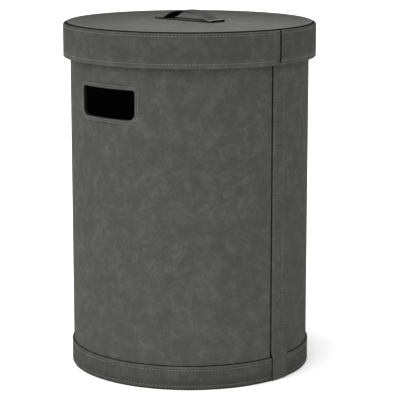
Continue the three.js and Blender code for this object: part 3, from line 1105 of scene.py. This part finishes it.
def strip_ring(height, tuck):
    """The strip's section at one height. A tuck pulls its face in, where the foot is turned under."""
    ring = []
    for index, (x, out, shade) in enumerate(STRIP_SECTION):
        on_wall = index == 0 or index >= len(STRIP_SECTION) - STRIP_FOLLOWS_WALL
        rise = strip_ground(height) if on_wall else strip_lift(height) - tuck
        narrowing = ease((BAND_TOP + NARROWING_START - height) / NARROWING_LENGTH) if x < 0 else 0.0
        # Where the foot is turned under, it is painted dark as shade.
        tone = DYE_AND_PAINTED_SHADE if tuck > TURNED_UNDER else shade
        ring.append((strip_point(x + narrowing, out + rise, height), tone))
    return ring


def even_steps(start, finish, count):
    """Heights after start, up to finish, in even steps."""
    return [start + (finish - start) * i / count for i in range(1, count + 1)]


def make_seam_strip():
    rings = [strip_ring(STRIP_FOOT + up, tuck) for up, tuck in FOOT_TUCKS]
    above_foot, above_tent = STRIP_FOOT + FOOT_TUCKS[-1][0], BAND_TOP + STRIP_TENT + TENT_SPARE
    heights = even_steps(above_foot, above_tent, TENT_STEPS) + even_steps(above_tent, STRIP_TOP, WALL_STEPS)
    rings += [strip_ring(height, 0.0) for height in heights]
    finish_sheet(
        "seam_strip_leather", loft(rings), "faux_leather", "hamper", "seam_strip", None, None,
        flat=(2 * STRIP_HALF, STRIP_TOP - STRIP_FOOT), held="stretched",
        rests_on=["body_cover_leather", "base_band_leather"],
    )


make_seam_strip()
print("strip stands", round(STRIP_STEP, 2), "mm further out over the band")

# %% [markdown]
# The mouth is bound with a folded strip of leather, like a U upside down over the top of the
# wall. The lid hides it, so it matters when the lid is lifted. Its rolled edges are painted
# lighter as highlights, and its cut ends are dyed.

# %% Rim binding
BINDING_ROW = BINDING_FOOT + 4.0
BINDING_INNER = LINING_RADIUS - LINING_THICK - FACING_GAP - LEATHER_THICK
BINDING_WIDTH = 2 * (BINDING_TOP - BINDING_FOOT) + BINDING_RADIUS - BINDING_INNER
BINDING_THICK = 0.9


def binding_profile():
    outer, inner = BINDING_RADIUS, BINDING_INNER
    # The rolled edges are painted lighter as highlights; the cut ends are dyed.
    up = [(outer - 0.9, BINDING_FOOT, DYE_AND_PAINTED_SHADE), (outer - 0.2, BINDING_FOOT + 0.1, -0.6)]
    up += [(outer + 0.05, BINDING_FOOT + 0.7, 0.7), (outer + 0.05, BINDING_FOOT + 1.8, 0.3)]
    up += channel(outer, BINDING_ROW)
    up += [(outer, BINDING_TOP - 3.5, 0.0), (outer - 0.15, BINDING_TOP - 1.8, 0.5)]
    up += [(outer - 0.9, BINDING_TOP - 0.5, 1.0), (outer - 2.2, BINDING_TOP, 0.8)]
    up += [((outer + inner) / 2, BINDING_TOP, 0.3)]
    up += [(inner + 2.2, BINDING_TOP, 0.8), (inner + 0.9, BINDING_TOP - 0.5, 1.0)]
    up += [(inner + 0.15, BINDING_TOP - 1.8, 0.5), (inner, BINDING_TOP - 3.5, 0.0)]
    up += [(2 * inner - r, z, shade) for r, z, shade in channel(inner, BINDING_ROW)[::-1]]
    up += [(inner + 0.1, BINDING_FOOT + 0.3, 0.3), (inner + 0.9, BINDING_FOOT, DYE_AND_PAINTED_SHADE)]
    return up


finish_sheet(
    "rim_binding_leather", turn(binding_profile()), "faux_leather", "hamper", "rim_binding",
    away_from_axis, BINDING_THICK,
    flat=(math.tau * BINDING_RADIUS, BINDING_WIDTH),
    held="folded", rests_on=["body_board", "body_cover_leather", "body_felt"],
)

# %% [markdown]
# Flat discs are turned too: a profile that starts on the axis closes itself at the pole once
# its doubles are merged. The floor of the hamper and the inside of the lid are felt discs,
# and a thin black foot disc closes the underside.

# %% Felt discs
FELT_THICK = 0.5


def make_disc(name, node, body, board, up):
    """A felt disc with softly turned edges, faced up or down."""
    radius, foot, top = measure(node)
    face, away = (top, -1.0) if up else (foot, 1.0)
    profile = [(radius * share, face, 0.0) for share in (0.0, 0.25, 0.5, 0.75, 0.92)]
    profile += [(radius - 0.7, face, 0.0), (radius - 0.15, face + 0.15 * away, 0.0)]
    profile += [(radius, face + 0.4 * away, 0.0)]
    finish_sheet(
        name, turn(profile), "lining", body, node, upwards if up else downwards, FELT_THICK,
        held="laid", rests_on=[board], **disc_cut(2 * radius),
    )


make_disc("floor_felt", "floor_lining", "hamper", "base_board", True)
make_disc("foot_disc", "bottom_cover", "hamper", "base_board", False)
make_disc("lid_felt", "lid_lining", "lid", "lid_board", False)

# %% [markdown]
# The lid's top is a disc of leather whose edge turns down into a narrow sewn groove. The
# groove is what draws the dark line round the lid, so it is real: the edge is rounded, its
# lip goes down past the shoulder of the skirt, and both walls of the groove are painted dark
# as shade. The top is painted a shade darker, and the crest of its rounded edge lighter as a
# highlight.

# %% Lid top
TOP_PAINTED_SHADE = -0.1
TOP_EDGE_SPARE = 3.5


def top_profile():
    edge = TOP_RADIUS
    # The flat top is painted a shade darker; the rounded edge's crest is painted lighter as a highlight,
    # and its lip dark as shade.
    flat = [(edge * share, LID_TOP, TOP_PAINTED_SHADE) for share in (0.0, 0.2, 0.4, 0.6, 0.8, 0.93)]
    rolled = [
        (edge - 4.0, LID_TOP, 0.1),
        (edge - 1.9, LID_TOP - 0.03, 0.4),
        (edge - 1.0, LID_TOP - 0.12, 0.2),
        (edge - 0.55, LID_TOP - 0.25, -0.4),
        (edge - 0.25, LID_TOP - 0.5, -0.8),
        (edge - 0.05, LID_TOP - 0.9, DYE_AND_PAINTED_SHADE),
        (edge, LID_TOP - 1.5, DYE_AND_PAINTED_SHADE),
        (edge, LIP_FOOT + 0.2, DYE_AND_PAINTED_SHADE),
    ]
    return flat + rolled


finish_sheet(
    "lid_top_leather", turn(top_profile()), "faux_leather", "lid", "lid_top_cover", upwards, LEATHER_THICK,
    held="stretched", rests_on=["lid_board"], **disc_cut(2 * (TOP_RADIUS + TOP_EDGE_SPARE)),
)

# %% [markdown]
# The skirt is a strip of leather round the lid's edge: hemmed inside, round the foot, up the
# wall and over the shoulder into the groove. Its ends are lapped and sewn near the front, left
# over right. The profile is spun whole, new edges are cut in beside the seam, and the laps are
# moved apart: the left end swells over, and the right end dips into a dark crease beside it.
# The rounded foot is painted lighter as a highlight, the wall a shade darker, the shoulder
# darker still and the groove dark as shade; the swell's edge is painted a shade darker, and
# the crease dark as shade.

# %% Lid skirt
SHOULDER_RADIUS = 3.2
GROOVE_WALL = 4.1
SKIRT_PAINTED_SHADE = -0.14
SKIRT_ROW_TOP = SHOULDER_TOP - SHOULDER_RADIUS - 1.35
SKIRT_ROW_FOOT = SKIRT_FOOT + 7.0
SKIRT_HEM = 12.0
SKIRT_HEM_TOP = SKIRT_FOOT + SKIRT_HEM
SKIRT_HEM_RADIUS = TOP_RADIUS - LEATHER_THICK
GROOVE_SPARE = 5.0
SKIRT_WIDTH = SKIRT_HEM + LID_RADIUS - SKIRT_HEM_RADIUS + SHOULDER_TOP - SKIRT_FOOT + GROOVE_SPARE
SKIRT_THICK = 1.0
LAP_ANGLE = math.radians(-4.5)
LAP_SWELL = 0.75
LAP_REACH = 9.0
LAP_DIP = 0.9
LAP_SHADE = -0.18
LAP_SHADE_REACH = 4.0
LAP_CREASE = 4.2
LAP_FOOT = SKIRT_FOOT + 3.5
LAP_CUTS = (-LAP_REACH, -6.0, -3.0, -1.4, -0.12, 0.0, LAP_CREASE, LAP_CREASE + 0.3)
SHOULDER_PAINTED_SHADES = (-0.14, -0.2, -0.28, -0.36, -0.45, -0.75, -1.0)


def skirt_profile():
    edge, foot = LID_RADIUS, SKIRT_FOOT
    # The rounded foot is painted lighter as a highlight.
    hem = [
        (SKIRT_HEM_RADIUS + 0.9, SKIRT_HEM_TOP, DYE_AND_PAINTED_SHADE),
        (SKIRT_HEM_RADIUS, SKIRT_HEM_TOP - 0.4, -0.3),
        (SKIRT_HEM_RADIUS, foot + 4.0, 0.0),
        (SKIRT_HEM_RADIUS + 0.2, foot + 1.4, 0.4),
        (SKIRT_HEM_RADIUS + 1.0, foot + 0.3, 0.5),
        (SKIRT_HEM_RADIUS + 2.4, foot, 0.0),
        (edge - 2.2, foot, 0.0),
        (edge - 1.0, foot + 0.2, 0.4),
        (edge - 0.25, foot + 0.9, 0.8),
        (edge, foot + 2.0, 0.5),
        (edge, LAP_FOOT, 0.2),
        (edge, LAP_FOOT + 0.5, 0.15),
    ]
    wall = channel(edge, SKIRT_ROW_FOOT)
    # The wall is painted a shade darker.
    wall += [(edge, foot + (SHOULDER_TOP - foot) * share, SKIRT_PAINTED_SHADE) for share in (0.3, 0.45, 0.6)]
    wall += channel(edge, SKIRT_ROW_TOP, SKIRT_PAINTED_SHADE)
    # The shoulder is painted darker still as shade, down into the dark painted groove.
    shoulder = []
    for step, shade in enumerate(SHOULDER_PAINTED_SHADES):
        turned = math.pi / 2 * step / (len(SHOULDER_PAINTED_SHADES) - 1)
        radius = edge - SHOULDER_RADIUS + SHOULDER_RADIUS * math.cos(turned)
        height = SHOULDER_TOP - SHOULDER_RADIUS + SHOULDER_RADIUS * math.sin(turned)
        shoulder.append((radius, height, shade))
    groove = [
        (edge - GROOVE_WALL, SHOULDER_TOP - 0.02, DYE_AND_PAINTED_SHADE),
        (edge - GROOVE_WALL - 0.15, SHOULDER_TOP - 0.35, DYE_AND_PAINTED_SHADE),
        (edge - GROOVE_WALL - 0.2, LIP_FOOT + 0.3, DYE_AND_PAINTED_SHADE),
        (TOP_RADIUS + 0.05, LIP_FOOT + 0.2, DYE_AND_PAINTED_SHADE),
    ]
    return hem + wall + shoulder + groove


def lap_move(distance):
    """Outward move and tone at a distance past the seam, in the direction of growing angle."""
    if -LAP_REACH <= distance < 0:
        shade = LAP_SHADE if distance > -LAP_SHADE_REACH else 0.0
        return LAP_SWELL * ease((distance + LAP_REACH) / LAP_REACH), shade
    if 0 <= distance <= LAP_CREASE + WELD:
        return -LAP_DIP, DYE_AND_PAINTED_SHADE
    return 0.0, 0.0


def make_lid_skirt():
    bm = turn(skirt_profile())
    tone = bm.verts.layers.float["dye_and_painted_light_tone"]
    for distance in LAP_CUTS:
        angle = LAP_ANGLE + distance / LID_RADIUS
        cut_across(bm, (0, 0, 0), polar(1.0, angle + math.pi / 2, 0.0))
    shoulder_start = LID_RADIUS - SHOULDER_RADIUS
    for vert in bm.verts:
        radius, angle = math.hypot(vert.co.x, vert.co.y), math.atan2(vert.co.x, -vert.co.y)
        outer_wall = vert.co.z > LAP_FOOT + 0.1 and radius > shoulder_start - 0.05
        move, shade = lap_move((angle - LAP_ANGLE) * LID_RADIUS)
        if outer_wall and (move or shade):
            slope = ease((radius - shoulder_start) / SHOULDER_RADIUS)
            vert.co = polar(radius + move * slope, angle, vert.co.z)
            # The swell's edge is painted a shade darker, and the crease dark as shade.
            vert[tone] = shade if vert[tone] > -0.5 else vert[tone]
    finish_sheet(
        "lid_skirt_leather", bm, "faux_leather", "lid", "lid_skirt_cover", away_from_axis, SKIRT_THICK,
        flat=(math.tau * LID_RADIUS, SKIRT_WIDTH), held="stretched", rests_on=["lid_skirt_board"],
    )


make_lid_skirt()

# %% [markdown]
# Inside the skirt a band of felt covers the board, from the hem up to the lid's felt.

# %% Lid skirt lining
BAND_FELT_RADIUS, BAND_FELT_FOOT, BAND_FELT_TOP = measure("lid_skirt_lining")


def make_skirt_felt():
    inner = BAND_FELT_RADIUS - LINING_THICK
    span = BAND_FELT_TOP - BAND_FELT_FOOT
    profile = [(inner + 0.3, BAND_FELT_FOOT, 0.0), (inner, BAND_FELT_FOOT + 0.3, 0.0)]
    profile += [(inner, BAND_FELT_FOOT + span * share, 0.0) for share in (0.25, 0.5, 0.75, 1.0)]
    finish_sheet(
        "lid_band_felt", turn(profile), "lining", "lid", "lid_skirt_lining", to_the_axis, FELT_THICK,
        flat=(math.tau * BAND_FELT_RADIUS, span), held="stretched", rests_on=["lid_skirt_board"],
    )


make_skirt_felt()

# %% [markdown]
# The handle is two pieces: a flat patch on the lid, and a strap sewn down at both ends that
# arches between them. The patch is cut from sheet: a box whose upright edges are bevelled
# round, and whose top edge is bevelled small, so that it catches the light. Its top is
# painted lighter as a highlight, and its sides dark, as dye and painted shade.

# %% Handle patch
patch_low, patch_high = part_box("handle_patch")
PATCH_CORNER = 2.5
PATCH_EDGE = 0.25
PATCH_GAP = 0.05
PATCH_SWELL = 0.25


def make_patch():
    bm = bmesh.new()
    tone = bm.verts.layers.float.new("dye_and_painted_light_tone")
    bmesh.ops.create_cube(bm, size=1.0)
    size = (patch_high - patch_low) / MM
    lift = LID_TOP + PATCH_GAP + (size.z + PATCH_SWELL) / 2
    bmesh.ops.scale(bm, vec=size + Vector((0, 0, PATCH_SWELL)), verts=bm.verts)
    bmesh.ops.translate(bm, vec=(0, 0, lift), verts=bm.verts)
    upright = [edge for edge in bm.edges if abs(edge.verts[0].co.z - edge.verts[1].co.z) > WELD]
    bmesh.ops.bevel(
        bm, geom=upright, offset=PATCH_CORNER, affect="EDGES", segments=5, profile=0.5, material=-1
    )
    top_height = max(vert.co.z for vert in bm.verts)
    rim = [edge for edge in bm.edges if all(abs(v.co.z - top_height) < WELD for v in edge.verts)]
    bmesh.ops.bevel(bm, geom=rim, offset=PATCH_EDGE, affect="EDGES", segments=2, profile=0.5, material=-1)
    # The top is painted lighter as a highlight; the sides dark, as dye and painted shade.
    for vert in bm.verts:
        vert[tone] = 0.5 if vert.co.z > top_height - WELD else DYE_AND_PAINTED_SHADE
    finish_sheet(
        "handle_patch_leather", bm, "faux_leather", "lid", "handle_patch", upwards, None,
        flat=(size.x, size.y), held="stretched", rests_on=["lid_top_leather"],
    )


make_patch()

# %% [markdown]
# The strap follows a line of two flat tabs and an arch with an easy crown, made of two cubic
# Bezier curves. The front leg has settled forward, so its tab is the shorter one. A rounded
# section is carried along that line and lofted. Its top is painted a shade darker than the
# lid, with a painted highlight near its edges, its underside is painted black as shade, its
# face and cut edges are painted darker still at the crown as shade, and the front tab is
# painted lighter as a highlight.

# %% Handle strap
strap_low, strap_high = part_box("handle_strap")
STRAP_WIDTH = 2 * strap_high.x / MM
STRAP_HALF_LENGTH = strap_high.y / MM
STRAP_FOOT, STRAP_CROWN = strap_low.z / MM, strap_high.z / MM
STRAP_THICK = 1.8
BACK_FOOT = 46.0
FRONT_FOOT = 54.0
FOOT_EASE = 0.8
CROWN_EASE = 0.74
CROWN_HALF = 17.0
CROWN_SHADE_FACE = 0.1
CROWN_SHADE_EDGE = 0.7
TAB_HIGHLIGHT_REACH = 2.0
LEG_STEPS = 40
TAB_STEPS = 6


def bezier(points, share):
    """Point of a cubic Bezier curve."""
    a, b, c, d = (Vector(p) for p in points)
    left = 1 - share
    return left**3 * a + 3 * left**2 * share * b + 3 * left * share**2 * c + share**3 * d


def strap_half(foot, rise):
    """One end of the strap's middle line, from its tip to the crown, on the side of falling Y."""
    tab = [(-STRAP_HALF_LENGTH + (STRAP_HALF_LENGTH - foot) * i / TAB_STEPS, 0) for i in range(TAB_STEPS)]
    leg = ((-foot, 0), (-foot * FOOT_EASE, 0), (-BACK_FOOT * CROWN_EASE, rise), (0, rise))
    return tab + [tuple(bezier(leg, i / LEG_STEPS)) for i in range(LEG_STEPS + 1)]


def strap_line():
    """The strap's middle line as (along, height) points, end to end."""
    rise = STRAP_CROWN - STRAP_THICK - STRAP_FOOT
    flat = STRAP_FOOT + STRAP_THICK / 2
    back = strap_half(BACK_FOOT, rise)
    line = strap_half(FRONT_FOOT, rise) + [(-y, z) for y, z in back[-2::-1]]
    return [Vector((y, flat + z)) for y, z in line]


def strap_section():
    """The strap's rounded section as (across, up, tone) points. The tones paint a highlight near the top's
    edges, shade over its middle, and black shade underneath.
    """
    half, thick = STRAP_WIDTH / 2, STRAP_THICK / 2
    top = [(half - 0.5, thick - 0.05, 0.2), (half - 1.6, thick, -0.3), (half - 4.0, thick + 0.05, -0.48)]
    top += [(0.0, thick + 0.1, -0.52)]
    top += [(-x, z, shade) for x, z, shade in top[-2::-1]]
    side = [(-half, thick - 0.45, 0.0), (-half, -thick + 0.4, -0.35), (-half + 0.5, -thick, DYE_AND_PAINTED_SHADE)]
    foot = [(0.0, -thick, DYE_AND_PAINTED_SHADE)]
    return top + side + foot + [(-x, z, shade) for x, z, shade in side[::-1]]


def make_strap():
    line = strap_line()
    rings = []
    for index, middle in enumerate(line):
        ahead = (line[min(index + 1, len(line) - 1)] - line[max(index - 1, 0)]).normalized()
        up = Vector((-ahead.y, ahead.x))
        at_end = index in (0, len(line) - 1)
        crown = 1.0 - ease((abs(middle.x) - CROWN_HALF) / CROWN_HALF)
        on_tab = middle.x < -FRONT_FOOT + TAB_HIGHLIGHT_REACH
        ring = []
        for across, out, shade in strap_section():
            spot = middle + up * out
            # Painted shade, deepest at the crown and on the edges; the front tab is painted lighter as a
            # highlight instead.
            dye_and_shade = crown * (CROWN_SHADE_FACE if abs(across) < STRAP_WIDTH / 2 - 1.0 else CROWN_SHADE_EDGE)
            worn = 1.0 if on_tab and shade > -0.9 else shade - dye_and_shade
            ring.append((Vector((across, spot.x, spot.y)), DYE_AND_PAINTED_SHADE if at_end else max(worn, DYE_AND_PAINTED_SHADE)))
        rings.append(ring)
    length = sum((b - a).length for a, b in zip(line, line[1:]))
    finish_sheet(
        "handle_strap_leather", loft(rings), "faux_leather", "lid", "handle_strap", None, None,
        flat=(STRAP_WIDTH, length), held="stretched", rests_on=["handle_patch_leather"],
    )
    print("strap length along its middle:", round(length, 1), "mm")


make_strap()

# %% [markdown]
# A stitch is a short grain of thread between two needle holes. Each row is one piece: a small
# six-sided grain is placed at even steps along the row's path, a little sunk into its channel
# and a little slanted, as a lockstitch lies. A modifier along a curve could do it, but placing
# each grain keeps the faces few and lets every stitch carry its own thread value.

# %% Stitching helpers
STITCH_PITCH = 5.1
STITCH_LENGTH = 3.4
THREAD_RADIUS = 0.36
STITCH_SLANT = math.radians(7)
STITCH_RAISED = 0.08
GRAIN_SIDES = 6
GRAIN_RINGS = 5


def stitch_places(path, outward):
    """Matrices for stitches at even steps along a path of points."""
    lengths = [(b - a).length for a, b in zip(path, path[1:])]
    count = max(1, round(sum(lengths) / STITCH_PITCH))
    pitch = sum(lengths) / count
    places, start, leg = [], 0.0, 0
    for index in range(count):
        target = (index + 0.5) * pitch
        while leg < len(lengths) - 1 and start + lengths[leg] < target:
            start += lengths[leg]
            leg += 1
        a, b = path[leg], path[leg + 1]
        spot = a + (b - a) * ((target - start) / lengths[leg])
        up = outward(spot).normalized()
        ahead = (b - a) - up * (b - a).dot(up)
        ahead = Matrix.Rotation(STITCH_SLANT, 3, up) @ ahead.normalized()
        aside = up.cross(ahead)
        frame_of = Matrix((ahead, aside, up)).transposed().to_4x4()
        shape = Matrix.Diagonal((STITCH_LENGTH / 2, THREAD_RADIUS, THREAD_RADIUS, 1.0))
        places.append(Matrix.Translation(spot + up * STITCH_RAISED) @ frame_of @ shape)
    return places


def make_grain():
    """One stitch of unit length and radius, lying along X, with its thread value."""
    bm = bmesh.new()
    along = bm.verts.layers.float.new("along")
    turned = Matrix.Rotation(math.pi / 2, 4, "Y")
    bmesh.ops.create_uvsphere(bm, u_segments=GRAIN_SIDES, v_segments=GRAIN_RINGS, radius=1.0, matrix=turned)
    for vert in bm.verts:
        vert[along] = (vert.co.x + 1) / 2
    mesh = bpy.data.meshes.new("grain")
    bm.to_mesh(mesh)
    bm.free()
    return mesh


grain_mesh = make_grain()
grain_points = [vert.co.copy() for vert in grain_mesh.vertices]


def sew(name, body, paths, outward):
    """Make one piece of thread that follows one or more paths."""
    bm = bmesh.new()
    places = [place for path in paths for place in stitch_places(path, outward)]
    for place in places:
        for vert, spot in zip(grain_mesh.vertices, grain_points):
            vert.co = place @ spot
        bm.from_mesh(grain_mesh)
    print(name, "stitches:", len(places))
    finish_piece(name, bm, "thread", body)


def arc_path(radius, height, start, finish):
    """Points of a level arc on the wall."""
    steps = max(2, round(abs(finish - start) / math.tau * ROUND_STEPS))
    return [polar(radius, start + (finish - start) * i / steps, height) for i in range(steps + 1)]


print("stitch pitch", STITCH_PITCH, "mm")

# %% [markdown]
# The rows: two round the band, broken by the strip; two down the strip; one round each
# hand-hole, seen from both sides; one round the binding; two round the lid's skirt; and one
# across each tab of the strap.

# %% Rows on the hamper
STRIP_PULL = 0.25
STRIP_ROW_STEPS = 260
STRIP_ROW_END = 4.0
BAND_ROW_GAP = 1.5
strip_angle = (STRIP_HALF + BAND_ROW_GAP) / BAND_RADIUS


def hole_row(radius, turned):
    """Path round a hand-hole on a wall of that radius."""
    path = []
    for side, share in OUTLINE_KEYS:
        across, height = hole_outline(side, share, ROW_FROM_HOLE)
        path.append(polar(radius, turned * math.tau + math.asin(across / radius), height))
    return path + path[:1]


def strip_row(x):
    """Path down the strip, over its step."""
    start, finish = STRIP_FOOT + STRIP_ROW_END, STRIP_TOP - STRIP_ROW_END
    heights = [start] + even_steps(start, finish, STRIP_ROW_STEPS)
    return [strip_point(x, strip_lift(height) - CHANNEL_DEPTH - STRIP_PULL, height) for height in heights]


outside = COVER_RADIUS - CHANNEL_DEPTH
inside = COVER_RADIUS + FLANGE_OUT
band_row = BAND_RADIUS - CHANNEL_DEPTH
band_arcs = [
    arc_path(band_row, height, strip_angle, math.tau - strip_angle)
    for height in (BAND_ROW_TOP, BAND_ROW_FOOT)
]
binding_circle = arc_path(BINDING_RADIUS - CHANNEL_DEPTH, BINDING_ROW, 0.0, math.tau)
inner_rows = [hole_row(inside, turned) for turned in (RIGHT_HOLE, LEFT_HOLE)]
sew("base_band_thread", "hamper", band_arcs, away_from_axis)
sew("seam_strip_thread", "hamper", [strip_row(x) for x in STRIP_ROWS], away_from_axis)
sew("left_hand_hole_thread", "hamper", [hole_row(outside, LEFT_HOLE)], away_from_axis)
sew("right_hand_hole_thread", "hamper", [hole_row(outside, RIGHT_HOLE)], away_from_axis)
sew("inner_hand_hole_thread", "hamper", inner_rows, to_the_axis)
sew("rim_binding_thread", "hamper", [binding_circle], away_from_axis)

# %% Rows on the lid
TAB_ROW_IN = 3.5
TAB_ROW_SIDE = 2.5
LAP_ROW_GAP = 0.012


def tab_row(way):
    """The row of stitches across one tab of the strap."""
    across = STRAP_WIDTH / 2 - TAB_ROW_SIDE
    along = (STRAP_HALF_LENGTH - TAB_ROW_IN) * way
    height = STRAP_FOOT + STRAP_THICK + 0.1
    return [Vector((-across, along, height)), Vector((across, along, height))]


row_start, row_finish = LAP_ANGLE + LAP_ROW_GAP, LAP_ANGLE + math.tau - LAP_REACH / LID_RADIUS
skirt_arcs = [
    arc_path(LID_RADIUS - CHANNEL_DEPTH, height, row_start, row_finish)
    for height in (SKIRT_ROW_TOP, SKIRT_ROW_FOOT)
]
sew("lid_skirt_thread", "lid", skirt_arcs, away_from_axis)
sew("handle_thread", "lid", [tab_row(-1), tab_row(1)], upwards)

# %% [markdown]
# The boards stay as the frame made them. Their slots get the fibreboard finish.

# %% Boards
for name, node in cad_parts.items():
    if node.hide_render:
        continue
    node.data.materials.clear()
    node.data.materials.append(fibreboard)
    print("board:", name)

# %% [markdown]
# The last step counts the pieces made.

# %% Pieces made
print("pieces made:", len(made_pieces))
